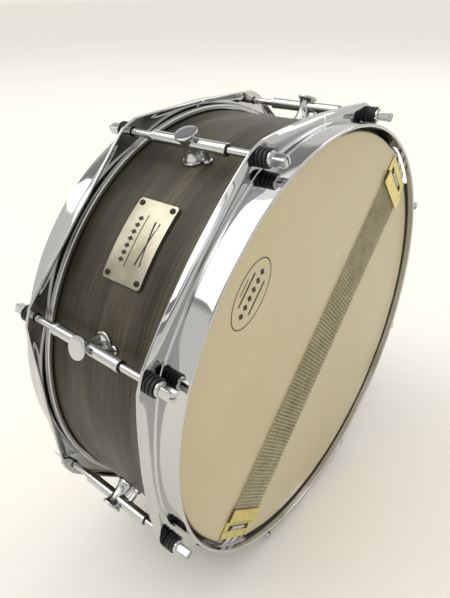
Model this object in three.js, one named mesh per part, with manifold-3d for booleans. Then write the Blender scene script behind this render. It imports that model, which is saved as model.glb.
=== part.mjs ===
// A 14 x 5.5 inch snare drum lying on its side, as an assembly of separate pieces.
// Millimetres, +Z up. The drum's axis is X: the batter head faces -X, the snare head +X.
// The origin is under the middle of the drum, on the surface that it lies on.
// A station angle runs right-handed about +X from +Z, so station 45 is up and to the front.

import * as THREE from 'three';
import { mergeVertices } from 'three/addons/utils/BufferGeometryUtils.js';
import Module from 'manifold-3d';

const wasm = await Module();
wasm.setup();

// ---------- driving dimensions ----------

const LUG_COUNT = 8;
const LUG_PITCH = 360 / LUG_COUNT;
const FIRST_LUG = LUG_PITCH / 2;
const BADGE_STATION = 45;
const STRAINER_STATION = -45;
const BUTT_STATION = 135;
const VENT_STATION = -90;

const SHELL_RADIUS = 177;
const SHELL_THICKNESS = 7.6;
const SHELL_HALF_DEPTH = 69.85;
const EDGE_RADIUS = 174;
const EDGE_LAND = 0.4;
const EDGE_OUTER_CUT = 4;
const EDGE_INNER_CUT = 4.2;
const VENT_HOLE_RADIUS = 5.5;
const VENT_TUBE = { inner: 3, outer: 5 };
const VENT_FLANGE = { radius: 8, height: 1 };

const GAP = 0.3;
const FILM_THICKNESS = 0.5;
const FILM_FACE = SHELL_HALF_DEPTH + GAP + FILM_THICKNESS;
const FILM_CORNER_OUT = EDGE_RADIUS + 1.3;
const FILM_CORNER_DROP = 3.75;
const COLLAR_RADIUS = SHELL_RADIUS + 0.95;
const COLLAR_THICKNESS = 0.55;
const COLLAR_TUCK = 1.5;
const FLESH_RADIUS = 181.4;
const FLESH_LOW = 49.5;
const FLESH_HIGH = 54.2;

const ROD_CIRCLE = 190;
const HOOP_SHEET = 2.3;
const WALL_RADIUS = 179.85;
const CREST = 77;
const BEND_HEIGHT = 2.5;
const FLANGE_LEVEL = 57;
const FLANGE_INNER = 182;
const FLANGE_OUTER = 185;
const FLANGE_FALL = 0.4;
const SKIRT_RADIUS = 186.35;
const SKIRT_TOP = 54;
const SKIRT_END = 50.5;
const EAR_LEVEL = 54.35;
const EAR_BEND = 180.9;
const EAR_ROOT = 183.2;
const EAR_TIP = 197.2;
const EAR_HOLE_RADIUS = 3.4;
const EAR_FLAT_ANGLE = 2;
const EAR_END_ANGLE = 7.5;
const EAR_SWEEP_ANGLE = 19.5;
const EAR_SWEEP_POWER = 1.7;
const RING_STEP = 6;
const GATE_WIDTH = 60;
const GATE_TOP = 72.2;

const WASHER_RADIUS = 6.2;
const WASHER_BORE = 3.1;
const WASHER_LOW = EAR_LEVEL + HOOP_SHEET / 2 + GAP;
const WASHER_HIGH = 63.2;
const ROD_RADIUS = 2.6;
const ROD_END = 18;
const COLLAR_LOW = WASHER_HIGH + GAP;
const COLLAR_HIGH = COLLAR_LOW + 1.9;
const KEY_COLLAR_RADIUS = 4.9;
const KEY_OVERLAP = 0.5;
const KEY_SQUARE = 6.2;
const KEY_TIP = 75.6;

const LUG_SEAT = SHELL_RADIUS + GAP;
const TUBE_RADIUS = 4.4;
const TUBE_HALF_LENGTH = 32;
const TUBE_BORE = 3.1;
const TUBE_BORE_DEPTH = 16;
const PEG_OFFSET = 11.6;
// Outlines of the turned pieces as [radius, height above the shell].
const POST_PROFILE = [
  [0, 0], [8.2, 0], [8.2, 1.5], [6.9, 3.3], [5.5, 7], [5.3, 11], [6.3, 18], [8, 18.9], [8, 20.6], [0, 20.6],
];
const PEG_PROFILE = [[0, 0], [3.1, 0], [3.1, 1.6], [2.6, 2.6], [2.2, 4], [2.2, 9.5], [0, 9.5]];

const BADGE_LENGTH = 57.5;
const BADGE_WIDTH = 34.5;
const BADGE_CENTRE = 2;
const BADGE_THICKNESS = 1.6;
const BADGE_GAP = 0.4;
const BADGE_CORNER = 3.2;

const STRAND_COUNT = 20;
const STRAND_SPACING = 2.4;
const STRAND_SIZE = 0.9;
const COIL_DIAMETER = 2;
const WIRE_BAND_REACH = 146;
const WIRE_END_STRIP = 4;
const WIRE_LEVEL = FILM_FACE + GAP;
const PLATE_WIDTH = 50;
const PLATE_REACH = 171.8;
const PLATE_THICKNESS = 0.8;
const PLATE_SLOT_WIDTH = 35;
const PLATE_SLOT_HEIGHT = 3.4;
const PLATE_SLOT_INSET = 10;
const STRAP_WIDTH = 28;
const STRAP_THICKNESS = 0.6;
const STRAP_LIFT = 0.85;

// The strainer and the butt plate: heights are above the shell, and spans run along X.
const SEAT_HEIGHT = 12.4;
const CLAMP_SPAN = [26, 35];
const CLAMP_THICKNESS = 3;
const CLAMP_LOW = SEAT_HEIGHT + 2 * GAP + STRAP_THICKNESS;
const CLAMP_HALF_WIDTH = 14.5;
const CLAMP_SCREW = { radius: 3.2, offset: 9, proud: 2 };
const BASE_SPAN = [-14, 38];
const BASE_THICKNESS = 3;
const CHEEK_INNER = 9.8;
const CHEEK_THICKNESS = 2.8;
const CHEEK_OUTER = CHEEK_INNER + CHEEK_THICKNESS;
const CHEEK_OUTLINE = [
  [-14, 2.5], [38, 2.5], [38, 8.5], [6, 8.5], [3, 19.5], [-0.5, 22], [-7.5, 22], [-11, 19.5], [-14, 8.5],
];
const PIVOT_X = -4;
const PIVOT_HEIGHT = 16.5;
const PIVOT_RADIUS = 2.1;
const PIVOT_CLEARANCE = 0.4;
const HUB_RADIUS = 5;
const MOVING_HALF_WIDTH = 9.4;
const LEVER_WIDTH = 14;
const LEVER_OUTLINE = [[-1, 23], [-1, 26], [-34, 26], [-39, 24.6], [-38.4, 22.4], [-33, 23]];
const SLIDE_SPAN = [6, 36];
const SLIDE_HEIGHTS = [3.4, 9.6];
const SEAT_START = 10;
const SEAT_LOW = 9.2;
const KNOB_HEIGHT = 8;
const KNOB_RADIUS = 7;
const KNOB_SPAN = [-27, -18];
const SPINDLE_RADIUS = 2.1;
const SPINDLE_SPAN = [-20, 19];
const SPINDLE_BORE = { radius: 2.6, end: 21 };
const BUTT_HALF_WIDTH = 17;
const BUTT_OUTLINE = [[12, 0], [38, 0], [38, SEAT_HEIGHT], [20, SEAT_HEIGHT], [12, 5]];

// The drum lies on the flat facet at the bottom of each skirt.
const OUTER_RADIUS = SKIRT_RADIUS + HOOP_SHEET / 2;
const AXIS_HEIGHT = OUTER_RADIUS * Math.cos(THREE.MathUtils.degToRad(RING_STEP / 2));

// ---------- materials ----------

const finish = (color, roughness, metalness) => ({ color, roughness, metalness });
const STAINED_WOOD = finish(0x5b5548, 0.45, 0);
const CHROME = finish(0xd9dbdc, 0.08, 1);
const ALUMINIUM = finish(0xc3c5c6, 0.35, 1);
const DRUM_FILM = finish(0xe2dabd, 0.4, 0);
const BATTER_FILM = finish(0xefe9d6, 0.6, 0);
const BLACK_NYLON = finish(0x161718, 0.5, 0);
const BRASS = finish(0xc4aa5a, 0.3, 1);
const STEEL_WIRE = finish(0xb9b7ae, 0.3, 1);
const BADGE_METAL = finish(0xb9b29c, 0.3, 1);
const STRAP_PLASTIC = finish(0xe9ebe8, 0.4, 0);

// ---------- helpers ----------

const drum = new THREE.Group();
const body = new THREE.Group();
body.position.z = AXIS_HEIGHT;
drum.add(body);

const stations = Array.from({ length: LUG_COUNT }, (_, i) => FIRST_LUG + i * LUG_PITCH);

function addPart(name, geometry, look, parent = body) {
  geometry.computeVertexNormals();
  const mesh = new THREE.Mesh(geometry, new THREE.MeshStandardMaterial(look));
  mesh.name = name;
  parent.add(mesh);
  return mesh;
}

// A group whose local +Z points outwards at a station angle.
function stationGroup(angle) {
  const group = new THREE.Group();
  group.rotation.x = THREE.MathUtils.degToRad(angle);
  body.add(group);
  return group;
}

function toSolid(geometry) {
  const bare = geometry.clone();
  bare.deleteAttribute('normal');
  bare.deleteAttribute('uv');
  const merged = mergeVertices(bare, 1e-4);
  const index = merged.index.array;
  const kept = [];
  for (let i = 0; i < index.length; i += 3) {
    const [a, b, c] = [index[i], index[i + 1], index[i + 2]];
    if (a !== b && b !== c && c !== a) kept.push(a, b, c);
  }
  const vertProperties = new Float32Array(merged.attributes.position.array);
  const triVerts = new Uint32Array(kept);
  return new wasm.Manifold(new wasm.Mesh({ numProp: 3, vertProperties, triVerts }));
}

function toGeometry(solid) {
  const mesh = solid.getMesh();
  const geometry = new THREE.BufferGeometry();
  geometry.setAttribute('position', new THREE.BufferAttribute(new Float32Array(mesh.vertProperties), 3));
  geometry.setIndex(Array.from(mesh.triVerts));
  return geometry;
}

const join = (...geometries) =>
  toGeometry(geometries.map(toSolid).reduce((whole, piece) => whole.add(piece)));

const cut = (geometry, ...tools) =>
  toGeometry(tools.map(toSolid).reduce((whole, tool) => whole.subtract(tool), toSolid(geometry)));

function box(x0, x1, y0, y1, z0, z1) {
  const geometry = new THREE.BoxGeometry(x1 - x0, y1 - y0, z1 - z0);
  return geometry.translate((x0 + x1) / 2, (y0 + y1) / 2, (z0 + z1) / 2);
}

function rodAlongX(radius, x0, x1, sides, z = 0, y = 0) {
  const geometry = new THREE.CylinderGeometry(radius, radius, x1 - x0, sides);
  return geometry.rotateZ(Math.PI / 2).translate((x0 + x1) / 2, y, z);
}

function rodAlongY(radius, y0, y1, sides, x, z) {
  const geometry = new THREE.CylinderGeometry(radius, radius, y1 - y0, sides);
  return geometry.translate(x, (y0 + y1) / 2, z);
}

function rodAlongZ(radius, z0, z1, sides, x = 0, y = 0) {
  const geometry = new THREE.CylinderGeometry(radius, radius, z1 - z0, sides);
  return geometry.rotateX(Math.PI / 2).translate(x, y, (z0 + z1) / 2);
}

// A turned piece about local Z, from [radius, height] points.
function turned(points, sides, base = 0, x = 0) {
  const profile = points.map(([radius, height]) => new THREE.Vector2(radius, height));
  return new THREE.LatheGeometry(profile, sides).rotateX(Math.PI / 2).translate(x, 0, base);
}

// A side outline of [x, z] points, given a width along Y about a middle.
function outlined(points, width, middle = 0) {
  const shape = new THREE.Shape(points.map(([x, z]) => new THREE.Vector2(x, z)));
  const geometry = new THREE.ExtrudeGeometry(shape, { depth: width, bevelEnabled: false });
  return geometry.rotateX(Math.PI / 2).translate(0, middle + width / 2, 0);
}

// The angles of every ring's facets: close together at the hoop ears, even between them.
const earSteps = [EAR_FLAT_ANGLE, (EAR_FLAT_ANGLE + EAR_END_ANGLE) / 2, EAR_END_ANGLE];
const facetOffsets = [...earSteps, EAR_END_ANGLE + RING_STEP, EAR_END_ANGLE + 2 * RING_STEP];
const facetAngles = stations.flatMap((station) => [
  ...facetOffsets.map((offset) => station - offset).reverse(),
  ...facetOffsets.map((offset) => station + offset),
]);

// A ring about the drum's axis. sectionAt gives a closed loop of [x, radius] points.
function ring(sectionAt) {
  const sections = facetAngles.map(sectionAt);
  const outline = sections[0].map(([x, radius]) => new THREE.Vector2(x, radius));
  if (THREE.ShapeUtils.isClockWise(outline)) sections.forEach((section) => section.reverse());
  const size = sections[0].length;
  const positions = [];
  facetAngles.forEach((angle, i) => {
    const turn = THREE.MathUtils.degToRad(angle);
    for (const [x, radius] of sections[i]) {
      positions.push(x, -radius * Math.sin(turn), radius * Math.cos(turn));
    }
  });
  const index = [];
  for (let i = 0; i < facetAngles.length; i += 1) {
    const here = i * size;
    const next = ((i + 1) % facetAngles.length) * size;
    for (let j = 0; j < size; j += 1) {
      const k = (j + 1) % size;
      index.push(here + j, here + k, next + k, here + j, next + k, next + j);
    }
  }
  const geometry = new THREE.BufferGeometry();
  geometry.setAttribute('position', new THREE.Float32BufferAttribute(positions, 3));
  geometry.setIndex(index);
  return toGeometry(toSolid(geometry));
}

// A strip of even thickness along an open line of [x, radius] points, as a closed loop.
function sheetSection(line, thickness) {
  const points = line.map(([x, r]) => new THREE.Vector2(x, r));
  const normals = points.slice(1).map((point, i) => {
    const along = point.clone().sub(points[i]).normalize();
    return new THREE.Vector2(-along.y, along.x);
  });
  const side = (sign) => points.map((point, i) => {
    const before = normals[Math.max(i - 1, 0)];
    const after = normals[Math.min(i, normals.length - 1)];
    const bisector = before.clone().add(after).normalize();
    const reach = (sign * thickness) / 2 / bisector.dot(after);
    return [point.x + bisector.x * reach, point.y + bisector.y * reach];
  });
  return [...side(1), ...side(-1).reverse()];
}

const mirrored = (geometry) => geometry.clone().rotateZ(Math.PI);

// ---------- shell ----------

function shellGeometry() {
  const inner = SHELL_RADIUS - SHELL_THICKNESS;
  const half = [
    [SHELL_HALF_DEPTH - EDGE_OUTER_CUT, SHELL_RADIUS],
    [SHELL_HALF_DEPTH, EDGE_RADIUS + EDGE_LAND],
    [SHELL_HALF_DEPTH, EDGE_RADIUS - EDGE_LAND],
    [SHELL_HALF_DEPTH - EDGE_INNER_CUT, inner],
  ];
  const other = half.map(([x, r]) => [-x, r]).reverse();
  const vent = rodAlongZ(VENT_HOLE_RADIUS, inner - 5, SHELL_RADIUS + 5, 12);
  vent.rotateX(THREE.MathUtils.degToRad(VENT_STATION));
  return cut(ring(() => [...other, ...half]), vent);
}

addPart('shell', shellGeometry(), STAINED_WOOD);

function ventGeometry() {
  const { inner, outer } = VENT_TUBE;
  const { radius, height } = VENT_FLANGE;
  const bottom = -SHELL_THICKNESS - height;
  const profile = [
    [inner, bottom], [outer, bottom], [outer, 0], [radius, 0], [radius - height, height],
    [inner + height, height], [inner, 0], [inner, bottom],
  ];
  return turned(profile, 12, LUG_SEAT);
}

addPart('air_vent', ventGeometry(), CHROME, stationGroup(VENT_STATION));

// ---------- heads ----------

function filmGeometry() {
  const inside = FILM_FACE - FILM_THICKNESS;
  const collarInside = COLLAR_RADIUS - COLLAR_THICKNESS;
  const collarEnd = FLESH_LOW + COLLAR_TUCK;
  const bend = FILM_FACE - FILM_CORNER_DROP;
  return ring(() => [
    [inside, 0], [inside, FILM_CORNER_OUT - 0.4], [bend - 0.3, collarInside], [collarEnd, collarInside],
    [collarEnd, COLLAR_RADIUS], [bend, COLLAR_RADIUS], [FILM_FACE, FILM_CORNER_OUT], [FILM_FACE, 0],
  ]);
}

function fleshHoopGeometry() {
  const inner = COLLAR_RADIUS + GAP;
  return ring(() => [
    [FLESH_LOW, inner], [FLESH_LOW, FLESH_RADIUS], [FLESH_HIGH, FLESH_RADIUS], [FLESH_HIGH, inner],
  ]);
}

addPart('snare_head_film', filmGeometry(), DRUM_FILM);
addPart('snare_flesh_hoop', fleshHoopGeometry(), ALUMINIUM);
addPart('batter_head_film', mirrored(filmGeometry()), BATTER_FILM);
addPart('batter_flesh_hoop', mirrored(fleshHoopGeometry()), ALUMINIUM);

// ---------- hoops ----------

// The hoop's sheet sweeps from a skirt between the lugs out to a flat ear at each lug.
function hoopLine(angle) {
  const fromLug = Math.min(...stations.map((station) => Math.abs(((angle - station + 540) % 360) - 180)));
  const along = (fromLug - EAR_FLAT_ANGLE) / (EAR_SWEEP_ANGLE - EAR_FLAT_ANGLE);
  const blend = 1 - (1 - THREE.MathUtils.clamp(along, 0, 1)) ** EAR_SWEEP_POWER;
  const ear = [
    [FLANGE_LEVEL, EAR_BEND], [EAR_LEVEL, EAR_ROOT], [EAR_LEVEL, ROD_CIRCLE], [EAR_LEVEL, EAR_TIP],
  ];
  const skirt = [
    [FLANGE_LEVEL, FLANGE_INNER], [FLANGE_LEVEL - FLANGE_FALL, FLANGE_OUTER],
    [SKIRT_TOP, SKIRT_RADIUS], [SKIRT_END, SKIRT_RADIUS],
  ];
  const free = ear.map(([x, r], i) => [
    THREE.MathUtils.lerp(x, skirt[i][0], blend),
    THREE.MathUtils.lerp(r, skirt[i][1], blend),
  ]);
  return [[CREST, WALL_RADIUS], [FLANGE_LEVEL + BEND_HEIGHT, WALL_RADIUS], ...free];
}

function hoopGeometry() {
  const holes = stations.map((station) => {
    const hole = rodAlongX(EAR_HOLE_RADIUS, SKIRT_END, FLANGE_LEVEL + 4, 12, ROD_CIRCLE);
    return hole.rotateX(THREE.MathUtils.degToRad(station));
  });
  return cut(ring((angle) => sheetSection(hoopLine(angle), HOOP_SHEET)), ...holes);
}

function gateTool(station) {
  const half = GATE_WIDTH / 2;
  const tool = box(SKIRT_END - 2, GATE_TOP, -half, half, WALL_RADIUS - 12, EAR_TIP + 5);
  return tool.rotateX(THREE.MathUtils.degToRad(station));
}

const gates = [STRAINER_STATION, BUTT_STATION].map(gateTool);
addPart('snare_hoop', cut(hoopGeometry(), ...gates), CHROME);
addPart('batter_hoop', mirrored(hoopGeometry()), CHROME);

// ---------- lugs, tension rods and washers ----------

// A spool-shaped post and a small peg hold a tube that the two rods screw into.
function lugGeometry() {
  const post = turned(POST_PROFILE, 12, LUG_SEAT);
  const peg = turned(PEG_PROFILE, 8, LUG_SEAT, PEG_OFFSET);
  const tube = rodAlongX(TUBE_RADIUS, -TUBE_HALF_LENGTH, TUBE_HALF_LENGTH, 12, ROD_CIRCLE);
  const bores = [-1, 1].map((side) => {
    const ends = [side * TUBE_BORE_DEPTH, side * (TUBE_HALF_LENGTH + 1)].sort((a, b) => a - b);
    return rodAlongX(TUBE_BORE, ends[0], ends[1], 12, ROD_CIRCLE);
  });
  return cut(join(post, peg, tube), ...bores);
}

function rodGeometry() {
  const shaft = rodAlongX(ROD_RADIUS, ROD_END, COLLAR_HIGH, 8);
  const collar = rodAlongX(KEY_COLLAR_RADIUS, COLLAR_LOW, COLLAR_HIGH, 12);
  const half = KEY_SQUARE / 2;
  const head = box(COLLAR_HIGH - KEY_OVERLAP, KEY_TIP, -half, half, -half, half);
  return join(shaft, collar, head);
}

function washerGeometry() {
  const height = WASHER_HIGH - WASHER_LOW;
  const corners = [[WASHER_BORE, 0], [WASHER_RADIUS, 0], [WASHER_RADIUS, height], [WASHER_BORE, height]];
  return turned([...corners, corners[0]], 12).rotateY(Math.PI / 2).translate(WASHER_LOW, 0, 0);
}

stations.forEach((station, i) => {
  const place = stationGroup(station);
  addPart(`lug_${i + 1}`, lugGeometry(), CHROME, place);
  for (const [side, turn] of [['snare', 0], ['batter', Math.PI]]) {
    const onAxis = new THREE.Group();
    onAxis.position.z = ROD_CIRCLE;
    onAxis.rotation.z = turn;
    place.add(onAxis);
    addPart(`${side}_tension_rod_${i + 1}`, rodGeometry(), CHROME, onAxis);
    addPart(`${side}_washer_${i + 1}`, washerGeometry(), BLACK_NYLON, onAxis);
  }
});

// ---------- badge ----------

// A square block with a round pin taken out of its inner quarter: what a rounded corner loses.
function cornerTool(x, y, inwardX, inwardY, low, high) {
  const size = BADGE_CORNER;
  const spread = (from, to) => [Math.min(from, to), Math.max(from, to)];
  const [x0, x1] = spread(x - inwardX * size, x + inwardX * size);
  const [y0, y1] = spread(y - inwardY * size, y + inwardY * size);
  const round = rodAlongZ(size, low - 1, high + 1, 16, x + inwardX * size, y + inwardY * size);
  return cut(box(x0, x1, y0, y1, low, high), round);
}

function badgeGeometry() {
  const inner = SHELL_RADIUS + BADGE_GAP;
  const outer = inner + BADGE_THICKNESS;
  const halfAngle = BADGE_LENGTH / 2 / inner;
  const ends = [Math.PI / 2 - halfAngle, Math.PI / 2 + halfAngle];
  const arc = new THREE.Shape();
  arc.absarc(0, 0, outer, ends[0], ends[1], false);
  arc.absarc(0, 0, inner, ends[1], ends[0], true);
  const options = { depth: BADGE_WIDTH, bevelEnabled: false, curveSegments: 8 };
  const curved = new THREE.ExtrudeGeometry(arc, options);
  curved.rotateY(Math.PI / 2).rotateX(Math.PI / 2).translate(BADGE_CENTRE - BADGE_WIDTH / 2, 0, 0);
  const reach = Math.sin(halfAngle) * inner;
  const corners = [[-1, -1], [1, -1], [1, 1], [-1, 1]].map(([sx, sy]) => {
    const x = BADGE_CENTRE + (sx * BADGE_WIDTH) / 2;
    return cornerTool(x, sy * reach, -sx, -sy, inner - BADGE_CORNER, outer + BADGE_CORNER);
  });
  return cut(curved, ...corners);
}

addPart('badge_plate', badgeGeometry(), BADGE_METAL, stationGroup(BADGE_STATION));

// ---------- snare wires and straps ----------

function endPlateGeometry() {
  const half = PLATE_WIDTH / 2;
  const top = WIRE_LEVEL + PLATE_THICKNESS;
  const plate = box(WIRE_LEVEL, top, -half, half, WIRE_BAND_REACH + GAP, PLATE_REACH);
  const slotTop = PLATE_REACH - PLATE_SLOT_INSET;
  const slotHalf = PLATE_SLOT_WIDTH / 2;
  return cut(plate, box(WIRE_LEVEL - 1, top + 1, -slotHalf, slotHalf, slotTop - PLATE_SLOT_HEIGHT, slotTop));
}

// The strap runs from the end plate over the rim, out through the gate and down to its clamp.
function strapGeometry() {
  const seat = LUG_SEAT + SEAT_HEIGHT + GAP + STRAP_THICKNESS / 2;
  const level = FILM_FACE + STRAP_LIFT;
  const line = [
    [level, PLATE_REACH + 0.4], [level, 175.6], [level - 2.8, 179.3], [62, 185.2], [53, seat - 0.7],
    [45, seat], [CLAMP_SPAN[0] - 3, seat],
  ];
  return outlined(sheetSection(line, STRAP_THICKNESS), STRAP_WIDTH);
}

// Twenty straight strands side by side, at the middle of their coils, joined by a strip at each end.
function wiresGeometry() {
  const low = WIRE_LEVEL + (COIL_DIAMETER - STRAND_SIZE) / 2;
  const high = low + STRAND_SIZE;
  const half = ((STRAND_COUNT - 1) * STRAND_SPACING + STRAND_SIZE) / 2;
  const gapReach = WIRE_BAND_REACH - WIRE_END_STRIP;
  const gaps = Array.from({ length: STRAND_COUNT - 1 }, (_, i) => {
    const left = -half + STRAND_SIZE + i * STRAND_SPACING;
    return box(low - 1, high + 1, left, left + STRAND_SPACING - STRAND_SIZE, -gapReach, gapReach);
  });
  return cut(box(low, high, -half, half, -WIRE_BAND_REACH, WIRE_BAND_REACH), ...gaps);
}

const snareLine = stationGroup(BUTT_STATION);
addPart('snare_wires', wiresGeometry(), STEEL_WIRE, snareLine);
addPart('snare_end_plate_butt', endPlateGeometry(), BRASS, snareLine);
addPart('snare_strap_butt', strapGeometry(), STRAP_PLASTIC, snareLine);

const strainer = stationGroup(STRAINER_STATION);
addPart('snare_end_plate_strainer', endPlateGeometry(), BRASS, strainer);
addPart('snare_strap_strainer', strapGeometry(), STRAP_PLASTIC, strainer);

// ---------- strainer (throw-off) ----------

// Heights above the shell become heights above the drum's axis.
const raise = (geometry) => geometry.translate(0, 0, LUG_SEAT);

function strainerBaseGeometry() {
  const plate = box(...BASE_SPAN, -CHEEK_OUTER, CHEEK_OUTER, 0, BASE_THICKNESS);
  const middle = CHEEK_INNER + CHEEK_THICKNESS / 2;
  const cheeks = [-1, 1].map((side) => outlined(CHEEK_OUTLINE, CHEEK_THICKNESS, side * middle));
  const hole = PIVOT_RADIUS + PIVOT_CLEARANCE;
  const pivot = rodAlongY(hole, -CHEEK_OUTER - 1, CHEEK_OUTER + 1, 12, PIVOT_X, PIVOT_HEIGHT);
  return raise(cut(join(plate, ...cheeks), pivot));
}

// The lever's trunnions are its hinge pin, and a short web joins its hub to the flat arm.
function leverGeometry() {
  const side = MOVING_HALF_WIDTH;
  const hub = rodAlongY(HUB_RADIUS, -side, side, 14, PIVOT_X, PIVOT_HEIGHT);
  const pin = CHEEK_OUTER - 0.2;
  const trunnion = rodAlongY(PIVOT_RADIUS, -pin, pin, 10, PIVOT_X, PIVOT_HEIGHT);
  const half = LEVER_WIDTH / 2;
  const web = box(PIVOT_X - 4, PIVOT_X + 3, -half, half, PIVOT_HEIGHT + 2, LEVER_OUTLINE[0][1] + 1);
  return raise(join(hub, trunnion, web, outlined(LEVER_OUTLINE, LEVER_WIDTH)));
}

function sliderGeometry() {
  const slide = box(...SLIDE_SPAN, -MOVING_HALF_WIDTH, MOVING_HALF_WIDTH, ...SLIDE_HEIGHTS);
  const seat = box(SEAT_START, SLIDE_SPAN[1], -CLAMP_HALF_WIDTH, CLAMP_HALF_WIDTH, SEAT_LOW, SEAT_HEIGHT);
  const bore = rodAlongX(SPINDLE_BORE.radius, SLIDE_SPAN[0] - 1, SPINDLE_BORE.end, 12, KNOB_HEIGHT);
  return raise(cut(join(slide, seat), bore));
}

function clampGeometry() {
  const high = CLAMP_LOW + CLAMP_THICKNESS;
  const bar = box(...CLAMP_SPAN, -CLAMP_HALF_WIDTH, CLAMP_HALF_WIDTH, CLAMP_LOW, high);
  const middle = (CLAMP_SPAN[0] + CLAMP_SPAN[1]) / 2;
  const { radius, offset, proud } = CLAMP_SCREW;
  const screws = [-offset, offset].map((y) => rodAlongZ(radius, high - 1, high + proud, 10, middle, y));
  return raise(join(bar, ...screws));
}

function knobGeometry() {
  const spindle = rodAlongX(SPINDLE_RADIUS, ...SPINDLE_SPAN, 10, KNOB_HEIGHT);
  return raise(join(spindle, rodAlongX(KNOB_RADIUS, ...KNOB_SPAN, 16, KNOB_HEIGHT)));
}

addPart('strainer_base', strainerBaseGeometry(), CHROME, strainer);
addPart('strainer_lever', leverGeometry(), CHROME, strainer);
addPart('strainer_slider', sliderGeometry(), CHROME, strainer);
addPart('strainer_clamp', clampGeometry(), CHROME, strainer);
addPart('strainer_knob', knobGeometry(), CHROME, strainer);

// ---------- butt plate ----------

// The strap's fixed end passes under a bar that stands on two posts.
function buttGeometry() {
  const block = outlined(BUTT_OUTLINE, 2 * BUTT_HALF_WIDTH);
  const high = CLAMP_LOW + CLAMP_THICKNESS;
  const bar = box(...CLAMP_SPAN, -BUTT_HALF_WIDTH, BUTT_HALF_WIDTH, CLAMP_LOW, high);
  const edges = [[-BUTT_HALF_WIDTH, -CLAMP_HALF_WIDTH], [CLAMP_HALF_WIDTH, BUTT_HALF_WIDTH]];
  const posts = edges.map(([y0, y1]) => box(...CLAMP_SPAN, y0, y1, SEAT_HEIGHT - 2, CLAMP_LOW + 1));
  return raise(join(block, bar, ...posts));
}

addPart('butt_plate', buttGeometry(), CHROME, stationGroup(BUTT_STATION));

export default drum;
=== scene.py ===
"""Looks of a snare drum that lies on its side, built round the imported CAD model.

Shapes are worked out in millimetres and placed in metres. The drum's axis is X. A station is an
angle round that axis, right-handed from +Z, and a station's own frame has X along the drum, Y
round it and Z outwards, measured from the axis.
"""

import math

import bmesh
import bpy
import numpy as np
from mathutils import Matrix, Vector


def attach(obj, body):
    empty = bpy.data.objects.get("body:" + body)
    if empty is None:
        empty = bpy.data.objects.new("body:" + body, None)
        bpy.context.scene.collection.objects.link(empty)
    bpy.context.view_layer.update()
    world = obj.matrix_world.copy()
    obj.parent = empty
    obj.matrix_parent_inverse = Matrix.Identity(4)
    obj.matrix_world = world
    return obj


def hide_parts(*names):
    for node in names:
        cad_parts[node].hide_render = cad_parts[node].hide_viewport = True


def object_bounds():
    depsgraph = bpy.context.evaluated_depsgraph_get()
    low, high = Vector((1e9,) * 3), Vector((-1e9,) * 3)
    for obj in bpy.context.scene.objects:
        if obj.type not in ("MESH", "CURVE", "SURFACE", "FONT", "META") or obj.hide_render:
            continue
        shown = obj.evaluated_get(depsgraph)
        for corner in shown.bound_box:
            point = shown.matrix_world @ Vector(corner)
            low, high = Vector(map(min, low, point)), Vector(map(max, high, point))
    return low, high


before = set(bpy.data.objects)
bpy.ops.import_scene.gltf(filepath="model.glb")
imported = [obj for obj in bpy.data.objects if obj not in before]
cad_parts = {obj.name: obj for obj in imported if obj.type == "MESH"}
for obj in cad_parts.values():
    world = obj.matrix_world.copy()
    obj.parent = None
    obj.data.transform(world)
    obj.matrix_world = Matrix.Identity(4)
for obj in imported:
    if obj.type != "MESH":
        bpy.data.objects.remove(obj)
cad_low, cad_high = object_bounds()
AXIS = (cad_low.z + cad_high.z) / 2
MM = 0.001

# ---------- driving sizes, in millimetres and degrees ----------

LUG_COUNT = 8
LUG_PITCH = 360 / LUG_COUNT
LUGS = [LUG_PITCH * (i + 0.5) for i in range(LUG_COUNT)]
BADGE_STATION = 45
STRAINER_STATION = -45
BUTT_STATION = 135
VENT_STATION = -90
SIDES = (("snare", 1), ("batter", -1))

SHELL_R = 177.0
SHELL_INNER = 169.4
HALF_DEPTH = 69.85
FILM_FACE = 70.65
FILM_EDGE = 175.3
COLLAR_R = 177.95
FLESH_X = (49.5, 54.2)
FLESH_R = 181.4
LUG_SEAT = 177.3
PEG_OFFSET = 11.6

HOOP_SHEET = 2.3
WALL_R = 179.85
CREST = 77.0
FLANGE_X = 57.0
SKIRT_R = AXIS / MM - HOOP_SHEET / 2
SKIRT_END = 50.5
EAR_X = 54.35
EAR_TIP = 197.2
EAR_HOLE = 3.4
EAR_FLAT = 2.0
EAR_SWEEP = 19.5
GATE_WIDTH = 60.0
GATE_TOP = 72.2

ROD_CIRCLE = 190.0
ROD_R = 2.6
WASHER_X = (55.8, 63.2)
WASHER_R = 6.2
KEY_COLLAR_X = (63.5, 65.4)
KEY_COLLAR_R = 4.9
KEY_SQUARE = 6.2
KEY_TIP = 75.6

WIRE_COUNT = 20
WIRE_SPACING = 2.4
WIRE_REACH = 146.0
WIRE_MIDDLE = 71.95
PLATE_WIDTH = 50.0
PLATE_REACH = 171.8

# ---------- camera ----------

CAMERA_PLACE = Vector((0.22248, -0.31182, AXIS + 0.25636))
VIEW_AZIMUTH = 39.21
VIEW_ELEVATION = 31.54
VIEW_ROLL = -1.08


def add_camera():
    data = bpy.data.cameras.new("camera")
    data.lens = 29.754
    data.sensor_width = 36
    camera = bpy.data.objects.new("camera", data)
    turn = Matrix.Rotation(math.radians(VIEW_AZIMUTH), 4, "Z")
    tilt = Matrix.Rotation(math.radians(90 - VIEW_ELEVATION), 4, "X")
    roll = Matrix.Rotation(math.radians(VIEW_ROLL), 4, "Z")
    camera.matrix_world = Matrix.Translation(CAMERA_PLACE) @ turn @ tilt @ roll
    bpy.context.scene.collection.objects.link(camera)
    bpy.context.scene.camera = camera


add_camera()

# ---------- materials ----------


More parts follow.
